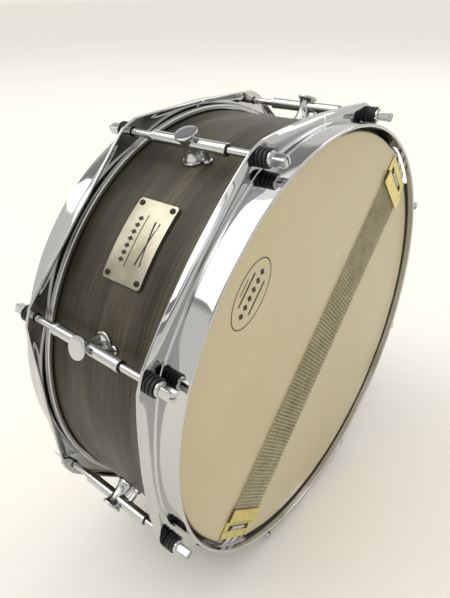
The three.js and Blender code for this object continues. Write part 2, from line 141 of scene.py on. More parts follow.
class Look:
    """A procedural material: a Principled shader and a few helpers that feed its sockets."""

    def __init__(self, name, color, roughness, metallic=0.0, **extra):
        self.material = bpy.data.materials.new(name)
        self.material.use_nodes = True
        self.tree = self.material.node_tree
        self.shader = self.tree.nodes["Principled BSDF"]
        self.shader.inputs["Base Color"].default_value = (*color, 1)
        self.shader.inputs["Roughness"].default_value = roughness
        self.shader.inputs["Metallic"].default_value = metallic
        for socket, value in extra.items():
            self.shader.inputs[socket.replace("_", " ")].default_value = value
        self.material.diffuse_color = (*color, 1)

    def node(self, kind, **settings):
        made = self.tree.nodes.new("ShaderNode" + kind)
        for key, value in settings.items():
            setattr(made, key, value)
        return made

    def link(self, source, target):
        self.tree.links.new(source, target)

    def place(self):
        return self.node("TexCoord").outputs["Object"]

    def math(self, operation, a, b=0.0):
        made = self.node("Math", operation=operation)
        for socket, value in zip(made.inputs, (a, b)):
            if isinstance(value, (int, float)):
                socket.default_value = value
            else:
                self.link(value, socket)
        return made.outputs[0]

    def stretched(self, source, scale):
        made = self.node("Mapping")
        made.inputs["Scale"].default_value = scale
        self.link(source, made.inputs["Vector"])
        return made.outputs["Vector"]

    def round_axis(self, radius):
        """Coordinates that run along the drum and round it, in metres; the third stays at zero."""
        split = self.node("SeparateXYZ")
        self.link(self.place(), split.inputs[0])
        height = self.math("SUBTRACT", split.outputs[2], AXIS)
        turn = self.math("ARCTAN2", split.outputs[1], height)
        joined = self.node("CombineXYZ")
        self.link(split.outputs[0], joined.inputs[0])
        self.link(self.math("MULTIPLY", turn, radius), joined.inputs[1])
        return joined.outputs[0]

    def noise(self, vector, scale=1.0, detail=3.0, roughness=0.55, distortion=0.0):
        made = self.node("TexNoise")
        made.inputs["Scale"].default_value = scale
        made.inputs["Detail"].default_value = detail
        made.inputs["Roughness"].default_value = roughness
        made.inputs["Distortion"].default_value = distortion
        self.link(vector, made.inputs["Vector"])
        return made.outputs[0]

    def ramp(self, factor, *stops):
        made = self.node("ValToRGB")
        band = made.color_ramp
        while len(band.elements) < len(stops):
            band.elements.new(0.5)
        for element, (position, color) in zip(band.elements, stops):
            element.position = position
            element.color = (*color, 1) if hasattr(color, "__len__") else (color, color, color, 1)
        self.link(factor, made.inputs[0])
        return made.outputs[0]

    def mix(self, kind, factor, a, b):
        made = self.node("Mix", data_type="RGBA", blend_type=kind)
        made.inputs["Factor"].default_value = factor
        self.link(a, made.inputs["A"])
        self.link(b, made.inputs["B"])
        return made.outputs["Result"]

    def color(self, source):
        self.link(source, self.shader.inputs["Base Color"])

    def roughness(self, factor, low, high):
        made = self.node("MapRange")
        made.inputs["To Min"].default_value = low
        made.inputs["To Max"].default_value = high
        self.link(factor, made.inputs["Value"])
        self.link(made.outputs[0], self.shader.inputs["Roughness"])

    def bump(self, height, strength, distance):
        made = self.node("Bump")
        made.inputs["Strength"].default_value = strength
        made.inputs["Distance"].default_value = distance
        self.link(height, made.inputs["Height"])
        self.link(made.outputs[0], self.shader.inputs["Normal"])


def chrome_look():
    look = Look("chrome", (0.56, 0.565, 0.57), 0.05, 1.0)
    smears = look.noise(look.place(), 45, 4, 0.6)
    look.roughness(smears, 0.02, 0.09)
    look.bump(look.noise(look.place(), 28, 1), 0.05, 0.0006)
    return look.material


def satin_metal_look():
    look = Look("satin_aluminium", (0.62, 0.62, 0.61), 0.3, 1.0)
    drawn = look.stretched(look.round_axis(0.18), (2200, 18, 1))
    lines = look.noise(drawn, 1, 2)
    look.roughness(lines, 0.22, 0.4)
    look.bump(lines, 0.12, 0.0002)
    return look.material


def stained_wood_look():
    look = Look("stained_wood", (0.07, 0.06, 0.04), 0.45, Specular_IOR_Level=0.25, Coat_Weight=0.12,
                Coat_Roughness=0.25)
    around = look.round_axis(0.177)
    broad = look.noise(look.stretched(around, (38, 5.5, 1)), 1, 3, 0.5, 0.6)
    streaks = look.noise(look.stretched(around, (620, 11, 1)), 1, 5, 0.62, 0.25)
    pores = look.noise(look.stretched(around, (2100, 75, 1)), 1, 2, 0.5)
    dark, middle, pale = (0.030, 0.025, 0.013), (0.070, 0.061, 0.036), (0.125, 0.110, 0.068)
    tone = look.ramp(broad, (0.34, dark), (0.5, middle), (0.66, pale))
    grain = look.ramp(streaks, (0.34, 0.40), (0.5, 0.82), (0.64, 1.0))
    pits = look.ramp(pores, (0.33, 0.45), (0.42, 1.0))
    look.color(look.mix("MULTIPLY", 1, look.mix("MULTIPLY", 1, tone, grain), pits))
    look.roughness(streaks, 0.5, 0.34)
    look.bump(look.mix("MULTIPLY", 1, grain, pits), 0.25, 0.0003)
    return look.material


def bare_wood_look():
    look = Look("bare_wood", (0.62, 0.47, 0.30), 0.5)
    around = look.round_axis(0.17)
    broad = look.noise(look.stretched(around, (30, 6, 1)), 1, 3)
    fine = look.noise(look.stretched(around, (700, 14, 1)), 1, 4)
    tone = look.ramp(broad, (0.3, (0.60, 0.45, 0.29)), (0.7, (0.74, 0.60, 0.42)))
    grain = look.ramp(fine, (0.3, 0.84), (0.6, 1.0))
    look.color(look.mix("MULTIPLY", 1, tone, grain))
    look.bump(fine, 0.15, 0.0002)
    return look.material


def clear_head_look():
    look = Look("clear_head", (0.74, 0.66, 0.40), 0.22, Alpha=0.62)
    cloud = look.noise(look.place(), 9, 3)
    look.color(look.ramp(cloud, (0.3, (0.73, 0.64, 0.41)), (0.7, (0.78, 0.70, 0.47))))
    look.roughness(look.noise(look.place(), 60, 3), 0.18, 0.3)
    return look.material


# The film's collar is coloured near black: painted shade of the dark channel between the bearing edge and
# the hoop wall.
def shaded_collar_look():
    look = Look("film_collar_painted_shade", (0.10, 0.095, 0.075), 0.12)
    look.roughness(look.noise(look.place(), 80, 3), 0.08, 0.2)
    return look.material


def coated_head_look():
    look = Look("coated_head", (0.82, 0.79, 0.70), 0.7, Alpha=0.86)
    cloud = look.noise(look.place(), 6, 3)
    look.color(look.ramp(cloud, (0.3, (0.80, 0.765, 0.665)), (0.7, (0.84, 0.81, 0.725))))
    look.bump(look.noise(look.place(), 1400, 3, 0.7), 0.35, 0.0003)
    return look.material


def nylon_look():
    look = Look("black_nylon", (0.012, 0.012, 0.013), 0.42)
    grit = look.noise(look.place(), 900, 2)
    look.roughness(grit, 0.34, 0.55)
    look.bump(grit, 0.15, 0.0002)
    return look.material


def brass_look():
    look = Look("brass", (0.78, 0.66, 0.30), 0.3, 1.0)
    cloud = look.noise(look.place(), 160, 4, 0.6)
    look.color(look.ramp(cloud, (0.3, (0.62, 0.52, 0.15)), (0.7, (0.80, 0.70, 0.27))))
    look.roughness(cloud, 0.2, 0.42)
    look.bump(look.noise(look.place(), 700, 2), 0.1, 0.0002)
    return look.material


def wire_look():
    look = Look("steel_wire", (0.42, 0.40, 0.28), 0.3, 1.0)
    cloud = look.noise(look.place(), 60, 3)
    look.color(look.ramp(cloud, (0.3, (0.44, 0.42, 0.28)), (0.7, (0.58, 0.56, 0.41))))
    look.roughness(cloud, 0.2, 0.38)
    return look.material


def badge_look():
    look = Look("badge_metal", (0.46, 0.43, 0.34), 0.3, 1.0)
    brushed = look.stretched(look.round_axis(0.18), (2600, 14, 1))
    lines = look.noise(brushed, 1, 3)
    cloud = look.noise(look.place(), 40, 3)
    tone = look.ramp(cloud, (0.35, (0.34, 0.32, 0.24)), (0.65, (0.52, 0.49, 0.39)))
    look.color(look.mix("MULTIPLY", 1, tone, look.ramp(lines, (0.3, 0.86), (0.7, 1.0))))
    look.roughness(lines, 0.22, 0.40)
    look.bump(lines, 0.15, 0.0001)
    return look.material


def strap_look():
    look = Look("strap_film", (0.86, 0.87, 0.86), 0.25, Alpha=0.62)
    look.roughness(look.noise(look.place(), 200, 3), 0.18, 0.36)
    return look.material


def black_look(name, roughness):
    look = Look(name, (0.010, 0.010, 0.011), roughness)
    grit = look.noise(look.place(), 500, 2)
    look.roughness(grit, roughness - 0.08, roughness + 0.1)
    return look.material


CHROME = chrome_look()
SATIN = satin_metal_look()
STAINED = stained_wood_look()
BARE = bare_wood_look()
CLEAR_HEAD = clear_head_look()
SHADED_COLLAR = shaded_collar_look()
COATED_HEAD = coated_head_look()
NYLON = nylon_look()
BRASS = brass_look()
WIRE = wire_look()
BADGE = badge_look()
STRAP = strap_look()
INK = black_look("ink", 0.5)
BLACK_STEEL = black_look("black_steel", 0.32)

# ---------- shape helpers: a part is (points as an N x 3 array, faces as lists of indices) ----------


def bezier(a, corner, b, steps):
    t = np.linspace(0, 1, steps + 1)[:, None]
    return (1 - t) ** 2 * a + 2 * t * (1 - t) * corner + t**2 * b


def rounded(points, reach, steps=5, closed=True):
    """Rounds the corners of an outline. reach is how far from each corner the curve starts."""
    points = [np.array(p, float) for p in points]
    count = len(points)
    reaches = reach if hasattr(reach, "__len__") else [reach] * count
    out = []
    for i, (corner, r) in enumerate(zip(points, reaches)):
        if r <= 0 or (not closed and i in (0, count - 1)):
            out.append(corner[None])
            continue
        before, after = points[i - 1] - corner, points[(i + 1) % count] - corner
        a = corner + before / np.linalg.norm(before) * min(r, np.linalg.norm(before) * 0.49)
        b = corner + after / np.linalg.norm(after) * min(r, np.linalg.norm(after) * 0.49)
        out.append(bezier(a, corner, b, steps))
    return np.vstack(out)


def grid_faces(rows, columns, close_rows, close_columns):
    faces = []
    for i in range(rows if close_rows else rows - 1):
        for j in range(columns if close_columns else columns - 1):
            i2, j2 = (i + 1) % rows, (j + 1) % columns
            faces.append([i * columns + j, i * columns + j2, i2 * columns + j2, i2 * columns + j])
    return faces


def lathe(profile, segments=48, closed=False):
    """Turns [radius, height] points about Z. An open profile starts and ends on the axis."""
    profile = np.array(profile, float)
    inner = profile if closed else profile[1:-1]
    angles = np.linspace(0, 2 * math.pi, segments, endpoint=False)
    rows = [np.c_[inner[:, 0] * math.cos(a), inner[:, 0] * math.sin(a), inner[:, 1]] for a in angles]
    points = np.vstack(rows)
    size = len(inner)
    faces = grid_faces(segments, size, True, closed)
    if not closed:
        poles = [[0, 0, profile[0, 1]], [0, 0, profile[-1, 1]]]
        points = np.vstack([points, poles])
        first, last = segments * size, segments * size + 1
        for i in range(segments):
            here, there = i * size, ((i + 1) % segments) * size
            faces.append([first, here, there])
            faces.append([last, there + size - 1, here + size - 1])
    return points, faces


def ring(section_at, angles):
    """A ring about the drum's axis. section_at gives a closed loop of [x, radius] points."""
    rows = []
    for angle in angles:
        section = np.array(section_at(angle), float)
        turn = math.radians(angle)
        rows.append(np.c_[section[:, 0], -section[:, 1] * math.sin(turn), section[:, 1] * math.cos(turn)])
    return np.vstack(rows), grid_faces(len(rows), len(rows[0]), True, True)


def loft(sections):
    """Joins closed sections of one size, and closes both ends."""
    size = len(sections[0])
    points = np.vstack(sections)
    faces = grid_faces(len(sections), size, False, True)
    faces.append(list(range(size)))
    faces.append(list(range(len(points) - size, len(points))))
    return points, faces


def from_bmesh(bm):
    points = np.array([v.co[:] for v in bm.verts], float)
    faces = [[v.index for v in face.verts] for face in bm.faces]
    bm.free()
    return points, faces


def bevelled(bm, width, steps):
    if width > 0:
        sharp = [e for e in bm.edges if e.calc_face_angle(0) > math.radians(25)]
        bmesh.ops.bevel(bm, geom=sharp, offset=width, segments=steps, profile=0.6, affect="EDGES")
    bm.verts.index_update()


def block(x, y, z, bevel=0.4, steps=2):
    """A box with rounded edges from three (low, high) spans."""
    bm = bmesh.new()
    bmesh.ops.create_cube(bm, size=1)
    for v in bm.verts:
        v.co = [span[0] + (c + 0.5) * (span[1] - span[0]) for c, span in zip(v.co, (x, y, z))]
    bevelled(bm, bevel, steps)
    return from_bmesh(bm)


def prism(outline, low, high, bevel=0.3, steps=2, cuts=()):
    """An outline of [x, y] points given a height along Z, cut across Y where cuts says."""
    bm = bmesh.new()
    face = bm.faces.new([bm.verts.new((p[0], p[1], low)) for p in outline])
    face.normal_update()
    made = bmesh.ops.extrude_face_region(bm, geom=[face])
    for v in (g for g in made["geom"] if isinstance(g, bmesh.types.BMVert)):
        v.co.z = high
    bmesh.ops.recalc_face_normals(bm, faces=bm.faces)
    bevelled(bm, bevel, steps)
    for y in cuts:
        everything = [*bm.verts, *bm.edges, *bm.faces]
        bmesh.ops.bisect_plane(bm, geom=everything, plane_co=(0, y, 0), plane_no=(0, 1, 0))
    bm.verts.index_update()
    return from_bmesh(bm)


def merged(*parts):
    points, faces, start = [], [], 0
    for p, f in parts:
        points.append(p)
        faces += [[i + start for i in face] for face in f]
        start += len(p)
    return np.vstack(points), faces


def moved(part, matrix):
    points, faces = part
    turned = points @ np.array(matrix.to_3x3()).T + np.array(matrix.translation)
    return turned, faces


def shifted(part, x=0.0, y=0.0, z=0.0):
    return part[0] + np.array((x, y, z)), part[1]


TO_X = Matrix.Rotation(math.pi / 2, 4, "Y")
TO_Y = Matrix.Rotation(-math.pi / 2, 4, "X")


def along_x(profile, segments=40, closed=False):
    """Turns [radius, x] points about X."""
    return moved(lathe(profile, segments, closed), TO_X)


def along_y(profile, segments=40):
    """Turns [radius, y] points about Y."""
    return moved(lathe(profile, segments), TO_Y)


# ---------- pieces ----------


def station(angle):
    """From a station's own frame, in millimetres, to the row frame, in metres."""
    turn = Matrix.Rotation(math.radians(angle), 4, "X")
    return Matrix.Translation((0, 0, AXIS)) @ turn @ Matrix.Scale(MM, 4)


def facing(side):
    """Turns a piece of the snare side round to the batter side."""
    return Matrix.Identity(4) if side > 0 else Matrix.Rotation(math.pi, 4, "Z")


def mesh_from(name, part, looks, sharp=32):
    points, faces = part
    mesh = bpy.data.meshes.new(name)
    mesh.from_pydata([tuple(p) for p in points], [], faces)
    for look in looks:
        mesh.materials.append(look)
    bm = bmesh.new()
    bm.from_mesh(mesh)
    bmesh.ops.recalc_face_normals(bm, faces=bm.faces)
    bm.to_mesh(mesh)
    bm.free()
    return smoothed(mesh, sharp)


def smoothed(mesh, sharp):
    """Smooth shading that keeps large faces flat and edges over that angle sharp."""
    mesh.polygons.foreach_set("use_smooth", [True] * len(mesh.polygons))
    mesh.set_sharp_from_angle(angle=math.radians(sharp))
    holder = bpy.data.objects.new("shading", mesh)
    bpy.context.scene.collection.objects.link(holder)
    step = holder.modifiers.new("weights", "WEIGHTED_NORMAL")
    step.keep_sharp = True
    graph = bpy.context.evaluated_depsgraph_get()
    result = bpy.data.meshes.new_from_object(holder.evaluated_get(graph))
    bpy.data.objects.remove(holder)
    return result


def show(name, mesh, matrix, body="root", replaces=()):
    """Puts a mesh in millimetres where matrix says, as a piece that rides on a body."""
    piece = bpy.data.objects.new(name, mesh.copy())
    piece.data.transform(matrix)
    bpy.context.scene.collection.objects.link(piece)
    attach(piece, body)
    if replaces:
        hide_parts(*replaces)
    return piece


def carved(mesh, tools, sharp=32):
    """The mesh with the tools' shapes cut out of it."""
    holder = bpy.data.objects.new("carving", mesh)
    cutter = bpy.data.objects.new("cutter", mesh_from("cutter", merged(*tools), []))
    for item in (holder, cutter):
        bpy.context.scene.collection.objects.link(item)
    step = holder.modifiers.new("cut", "BOOLEAN")
    step.operation = "DIFFERENCE"
    step.solver = "EXACT"
    step.object = cutter
    graph = bpy.context.evaluated_depsgraph_get()
    result = bpy.data.meshes.new_from_object(holder.evaluated_get(graph))
    for item in (holder, cutter):
        bpy.data.objects.remove(item)
    return smoothed(result, sharp)


# ---------- shell ----------

EVEN_ANGLES = np.linspace(0, 360, 240, endpoint=False)


def shell_mesh():
    outer_cut, inner_cut, land = 4.0, 4.2, 0.4
    edge_r = 174.0
    half = [
        (HALF_DEPTH - inner_cut, SHELL_INNER), (HALF_DEPTH, edge_r - land),
        (HALF_DEPTH, edge_r + land), (HALF_DEPTH - outer_cut, SHELL_R),
    ]
    other = [(-x, r) for x, r in reversed(half)]
    section = rounded(half + other, [0.8, 0.35, 0.35, 0.8] * 2, 3)
    mesh = mesh_from("shell", ring(lambda angle: section, EVEN_ANGLES), [STAINED, BARE])
    hole = lathe([(0, -12), (5.5, -12), (5.5, 5), (0, 5)], 32)
    turn = Matrix.Rotation(math.radians(VENT_STATION), 4, "X") @ Matrix.Translation((0, 0, SHELL_R))
    mesh = carved(mesh, [moved(hole, turn)])
    for face in mesh.polygons:
        radius = math.hypot(face.center.y, face.center.z)
        face.material_index = 0 if radius > SHELL_R - 0.4 else 1
    return mesh


show("shell_ply", shell_mesh(), station(0), replaces=["shell"])


def vent_mesh():
    profile = rounded([
        (3.0, -8.6), (5.0, -8.6), (5.0, 0), (8.0, 0), (7.6, 1.0), (4.2, 1.2), (3.0, 0.2),
    ], [0.2, 0.2, 0.1, 0.2, 0.6, 0.8, 0.4], 4)
    return mesh_from("vent", shifted(lathe(profile, 48, True), z=LUG_SEAT), [CHROME])


show("vent_grommet", vent_mesh(), station(VENT_STATION), replaces=["air_vent"])

# ---------- heads ----------


def film_mesh(name, look):
    """A flat film with a collar that bends over the bearing edge and down into the flesh hoop."""
    thickness = 0.25
    radii = [0.5, 60, 110, 150, 168]
    outer = [(FILM_FACE, r) for r in radii]
    bend = rounded([
        (FILM_FACE, 172), (FILM_FACE, FILM_EDGE - 0.3), (FILM_FACE - 4.2, COLLAR_R - 0.4), (51, COLLAR_R),
    ], [0, 1.8, 2.4, 0], 6, closed=False)
    outer = np.vstack([outer, bend])
    along = np.gradient(outer, axis=0)
    inward = np.c_[along[:, 1] * -1, along[:, 0]]
    inward /= np.linalg.norm(inward, axis=1)[:, None]
    inner = outer + inward * thickness
    section = np.vstack([outer, inner[::-1]])
    points, faces = ring(lambda angle: section, EVEN_ANGLES)
    size = len(section)
    hub = [i * size for i in range(len(EVEN_ANGLES))]
    under = [i * size + size - 1 for i in range(len(EVEN_ANGLES))]
    walls = {frozenset((a, b)) for a, b in zip(hub, under)}
    faces = [f for f in faces if not any(w <= set(f) for w in walls)]
    mesh = mesh_from(name, (points, faces + [hub, under]), [look, SHADED_COLLAR])
    # The collar's faces take the second material, its painted shade.
    for face in mesh.polygons:
        if math.hypot(face.center.y, face.center.z) > FILM_EDGE - 0.3 and len(face.vertices) == 4:
            face.material_index = 1
    return mesh


def flesh_hoop_mesh():
    corners = [
        (FLESH_X[0], COLLAR_R + 0.3), (FLESH_X[0], FLESH_R),
        (FLESH_X[1], FLESH_R), (FLESH_X[1], COLLAR_R + 0.3),
    ]
    section = rounded(corners, [0.3, 1.3, 1.3, 0.3], 5)
    return mesh_from("flesh_hoop", ring(lambda angle: section, EVEN_ANGLES), [SATIN])


film_looks = {"snare": CLEAR_HEAD, "batter": COATED_HEAD}
flesh_hoop = flesh_hoop_mesh()
for side_name, side in SIDES:
    place = station(0) @ facing(side)
    film = film_mesh(f"{side_name}_film", film_looks[side_name])
    show(f"{side_name}_head", film, place, replaces=[f"{side_name}_head_film"])
    show(f"{side_name}_flesh_ring", flesh_hoop, place, replaces=[f"{side_name}_flesh_hoop"])

# ---------- hoops ----------

HOOP_ANGLES = sorted({
    round(lug + sign * offset, 3)
    for lug in LUGS
    for sign in (-1, 1)
    for offset in [*np.arange(0, 8.1, 0.5), *np.arange(9, 22.6, 1.0), 22.5]
})


def hoop_section(angle):
    """The sheet's outline at an angle: an ear at each lug, and a skirt between the lugs."""
    from_lug = min(abs((angle - lug + 540) % 360 - 180) for lug in LUGS)
    t = min(max((from_lug - EAR_FLAT) / (EAR_SWEEP - EAR_FLAT), 0), 1)
    skirt = 1 - (1 - t) ** 1.7

    def between(ear, free):
        return ear + (free - ear) * skirt

    half = HOOP_SHEET / 2
    corners = [
        (CREST - half, WALL_R),
        (between(EAR_X, FLANGE_X), WALL_R),
        (between(EAR_X, FLANGE_X - 0.1), between(ROD_CIRCLE, SKIRT_R)),
        (between(EAR_X, SKIRT_END + half), between(EAR_TIP - half, SKIRT_R)),
    ]
    line = rounded(corners, [0, 3.3, 3.0, 0], 7, closed=False)
    wall = np.linspace(line[0], line[1], 4)[:-1]
    line = np.vstack([wall, line[1:]])
    along = np.gradient(line, axis=0)
    along /= np.linalg.norm(along, axis=1)[:, None]
    normal = np.c_[-along[:, 1], along[:, 0]]
    ends = np.linspace(0, math.pi, 7)[1:-1, None]
    tip = line[-1] + half * (normal[-1] * np.cos(ends) + along[-1] * np.sin(ends))
    crest = line[0] - half * (normal[0] * np.cos(ends) + along[0] * np.sin(ends))
    return np.vstack([line + normal * half, tip, (line - normal * half)[::-1], crest])


def hoop_mesh(name, gates):
    mesh = mesh_from(name, ring(hoop_section, HOOP_ANGLES), [CHROME], 40)
    tools = []
    for lug in LUGS:
        ends = SKIRT_END, FLANGE_X + 4
        hole = along_x([(0, ends[0]), (EAR_HOLE, ends[0]), (EAR_HOLE, ends[1]), (0, ends[1])], 24)
        tools.append(moved(shifted(hole, z=ROD_CIRCLE), Matrix.Rotation(math.radians(lug), 4, "X")))
    for gate in gates:
        half = GATE_WIDTH / 2
        tool = block((SKIRT_END - 6, GATE_TOP), (-half, half), (WALL_R - 8, EAR_TIP + 5), 1.6, 3)
        tools.append(moved(tool, Matrix.Rotation(math.radians(gate), 4, "X")))
    return carved(mesh, tools, 40)


show("snare_side_hoop", hoop_mesh("snare_side_hoop", [STRAINER_STATION, BUTT_STATION]), station(0),
     replaces=["snare_hoop"])
show("batter_side_hoop", hoop_mesh("batter_side_hoop", []), station(0) @ facing(-1),
     replaces=["batter_hoop"])

# ---------- lugs ----------


def post_mesh():
    waist = [(5.25 + 0.0245 * (h - 10.5) ** 2, h) for h in np.linspace(4.2, 17.6, 14)]
    profile = [
        (0, 0), (7.9, 0), (8.2, 0.25), (8.2, 1.1), (7.9, 1.4), (7.1, 1.55), (7.0, 1.75), (6.95, 2.4),
        (6.7, 3.0), *waist, (7.2, 18.3), (7.9, 18.8), (8.0, 19.1), (8.0, 20.0),
        (7.75, 20.4), (7.3, 20.6), (4.0, 20.6), (0, 20.6),
    ]
    return mesh_from("lug_post", shifted(lathe(profile, 56), z=LUG_SEAT), [CHROME])


def peg_mesh():
    profile = [
        (0, 0), (3.0, 0), (3.1, 0.15), (3.1, 1.3), (2.9, 1.6), (2.5, 1.9), (2.25, 2.6), (2.1, 4.0),
        (2.1, 7.0), (2.3, 9.5), (0, 9.5),
    ]
    return mesh_from("lug_peg", shifted(lathe(profile, 40), x=PEG_OFFSET, z=LUG_SEAT), [CHROME])


def tube_mesh():
    """The tube that both rods screw into, open at both ends."""
    half = [
        (3.1, 16), (3.1, 31.4), (3.4, 32.0), (4.0, 32.0), (4.35, 31.7), (4.4, 31.2), (4.4, 29.0),
        (4.3, 28.8), (4.1, 28.6), (4.15, 28.2), (4.2, 27.9),
    ]
    outer = [*half, (4.2, 0)]
    mirror = [(r, -x) for r, x in reversed(half)]
    profile = [(0, 15.9), *outer, *mirror, (0, -15.9)]
    return mesh_from("lug_tube", shifted(along_x(profile, 48), z=ROD_CIRCLE), [CHROME])


def mouth_shade_mesh():
    """A ring in a tube's mouth, shaped as the threaded fitting there: its black is painted shade of the
    hole, not the fitting's own colour.
    """
    profile = [
        (2.75, 30.6), (3.05, 30.6), (3.05, 32.0), (3.45, 32.0), (3.45, 32.4), (3.25, 32.6), (2.75, 32.6),
    ]
    return mesh_from("lug_mouth_shade", shifted(along_x(profile, 40, True), z=ROD_CIRCLE), [BLACK_STEEL])


def rounded_square(half, corner, count=40):
    """A square of that half-width with round corners, as points about the middle."""
    angles = np.linspace(0, 2 * math.pi, count, endpoint=False)
    core = half - corner
    points = []
    for a in angles:
        c, s = math.cos(a), math.sin(a)
        power = 2 if core <= 0 else 2 + 10 * core / half
        radius = half / (abs(c) ** power + abs(s) ** power) ** (1 / power)
        points.append((radius * c, radius * s))
    return np.array(points)


def rod_mesh():
    """A tension rod: threaded shank, collar and a square head with a slot in its tip."""
    ridges = [point for x in np.arange(18.4, 50, 0.8) for point in ((ROD_R - 0.22, x), (ROD_R, x + 0.4))]
    shank = along_x([(0, 18), (2.2, 18), *ridges, (ROD_R, 50.4), (ROD_R, 63.8), (0, 63.8)], 32)
    low, high = KEY_COLLAR_X
    r = KEY_COLLAR_R
    collar = along_x([
        (0, low), (r - 0.3, low), (r, low + 0.3), (r, high - 0.6), (r - 0.5, high - 0.1),
        (r - 1.4, high + 0.25), (0, high + 0.25),
    ], 40)
    half = KEY_SQUARE / 2
    stages = [
        (high - 0.2, 3.4, 3.4), (high + 0.5, 3.0, 2.6), (high + 1.2, half, 1.0), (KEY_TIP - 1.4, half, 0.9),
        (KEY_TIP - 0.5, half - 0.25, 1.0), (KEY_TIP, half - 0.9, 1.2),
    ]
    sections = []
    for x, size, corner in stages:
        outline = rounded_square(size, corner)
        sections.append(np.c_[np.full(len(outline), x), outline[:, 0], outline[:, 1]])
    head = mesh_from("rod_head", loft(sections), [CHROME])
    slot = block((KEY_TIP - 1.7, KEY_TIP + 1), (-0.6, 0.6), (-5, 5), 0)
    head = carved(head, [slot], 30)
    body = mesh_from("rod", merged(shank, collar), [CHROME])
    bm = bmesh.new()
    bm.from_mesh(body)
    bm.from_mesh(head)
    bm.to_mesh(body)
    bm.free()
    return smoothed(body, 30)


def washer_mesh():
    """A sleeve with three ribs."""
    low, high = WASHER_X
    pitch = (high - low - 1.6) / 2
    ribs = []
    for i in range(3):
        x = low + i * pitch
        ribs += [(WASHER_R - 0.3, x), (WASHER_R, x + 0.3), (WASHER_R, x + 1.3), (WASHER_R - 0.3, x + 1.6)]
        if i < 2:
            ribs += [(WASHER_R - 1.0, x + 1.75), (WASHER_R - 1.0, x + pitch - 0.15)]
    profile = [(3.1, low), *ribs, (3.1, high)]
    return mesh_from("washer", along_x(profile, 40, True), [NYLON])


def inner_screw_mesh():
    """A lug's screw and washer, inside the shell."""
    washer = lathe([(0, -1.0), (6.0, -1.0), (6.3, -0.7), (6.3, 0), (0, 0)], 32)
    head = lathe([(0, -4.4), (2.6, -4.2), (3.9, -3.4), (4.1, -2.6), (4.1, -1.0), (0, -1.0)], 32)
    return mesh_from("inner_screw", shifted(merged(washer, head), z=SHELL_INNER), [BLACK_STEEL])


post, peg, tube, mouth_shade = post_mesh(), peg_mesh(), tube_mesh(), mouth_shade_mesh()
rod, washer, inner_screw = rod_mesh(), washer_mesh(), inner_screw_mesh()
on_rod_circle = Matrix.Translation((0, 0, ROD_CIRCLE))

for number, lug in enumerate(LUGS, start=1):
    place = station(lug)
    show(f"lug_post_{number}", post, place, replaces=[f"lug_{number}"])
    show(f"lug_peg_{number}", peg, place)
    show(f"lug_tube_{number}", tube, place)
    show(f"lug_screw_{number}", inner_screw, place)
    for side_name, side in SIDES:
        turned = place @ facing(side)
        on_rod = turned @ on_rod_circle
        # A ring painted dark for the shade in the tube's mouth.
        show(f"{side_name}_insert_{number}", mouth_shade, turned)
        show(f"{side_name}_rod_{number}", rod, on_rod,
             f"{side_name}_rod_{number}", [f"{side_name}_tension_rod_{number}"])
        show(f"{side_name}_sleeve_{number}", washer, on_rod,
             replaces=[f"{side_name}_washer_{number}"])

# ---------- badge ----------

BADGE_SIZE = (34.5, 57.5)
BADGE_MIDDLE = 2.0
BADGE_FACE = 179.0


def bent(part, radius):
    """Wraps a flat part, drawn at that height above the axis, round the drum."""
    points, faces = part
    angle = points[:, 1] / radius
    return np.c_[points[:, 0], points[:, 2] * np.sin(angle), points[:, 2] * np.cos(angle)], faces


def curved_plate(width, length, corner, low, high, bevel=0.25, middle=(BADGE_MIDDLE, 0)):
    half_x, half_y = width / 2, length / 2
    corners = [(-half_x, -half_y), (half_x, -half_y), (half_x, half_y), (-half_x, half_y)]
    outline = rounded(corners, corner, 6) + np.array(middle)
    cuts = np.linspace(middle[1] - half_y, middle[1] + half_y, max(int(length / 3), 2) + 1)[1:-1]
    return bent(prism(outline, low, high, bevel, 2, cuts), SHELL_R)


def badge_screw_mesh():
    dome = lathe([(0, 0), (2.0, 0), (2.05, 0.3), (1.9, 0.8), (1.3, 1.2), (0, 1.3)], 28)
    mesh = mesh_from("badge_screw", dome, [BLACK_STEEL])
    a, b = 1.35, 0.24
    cross = [
        (a, b), (b, b), (b, a), (-b, a), (-b, b), (-a, b),
        (-a, -b), (-b, -b), (-b, -a), (b, -a), (b, -b), (a, -b),
    ]
    return carved(mesh, [prism(cross, 0.75, 2, 0)])


def badge_marks():
    """A row of lozenges, a rule and a pair of crossed sticks: plain ornament, with no lettering."""
    low, high = BADGE_FACE - 0.02, BADGE_FACE + 0.05
    flat_marks = []
    for i in range(7):
        y = (i - 3) * 4.8
        lozenge = [(-9.4, y), (-6.9, y - 1.9), (-4.4, y), (-6.9, y + 1.9)]
        flat_marks.append(prism([(x + BADGE_MIDDLE, v) for x, v in lozenge], low, high, 0))
    rule = curved_plate(0.7, 36, 0.2, low, high, 0, (BADGE_MIDDLE - 2.0, 0))
    outline = [(-1.9, -16), (-1.0, 12.5), (-1.9, 15.8), (1.9, 15.8), (1.0, 12.5), (1.9, -16)]
    stick = rounded(outline, 0.4, 3)
    for sign in (-1, 1):
        turn = math.radians(68 * sign)
        x = stick[:, 0] * math.cos(turn) - stick[:, 1] * math.sin(turn)
        y = stick[:, 0] * math.sin(turn) + stick[:, 1] * math.cos(turn)
        crossed = np.c_[y * 0.35 + 8.0 + BADGE_MIDDLE, x]
        cuts = np.linspace(-13, 13, 9)
        flat_marks.append(prism(crossed, low, high + 0.02 * (sign + 1), 0, 2, cuts))
    return merged(rule, *[bent(mark, SHELL_R) for mark in flat_marks])


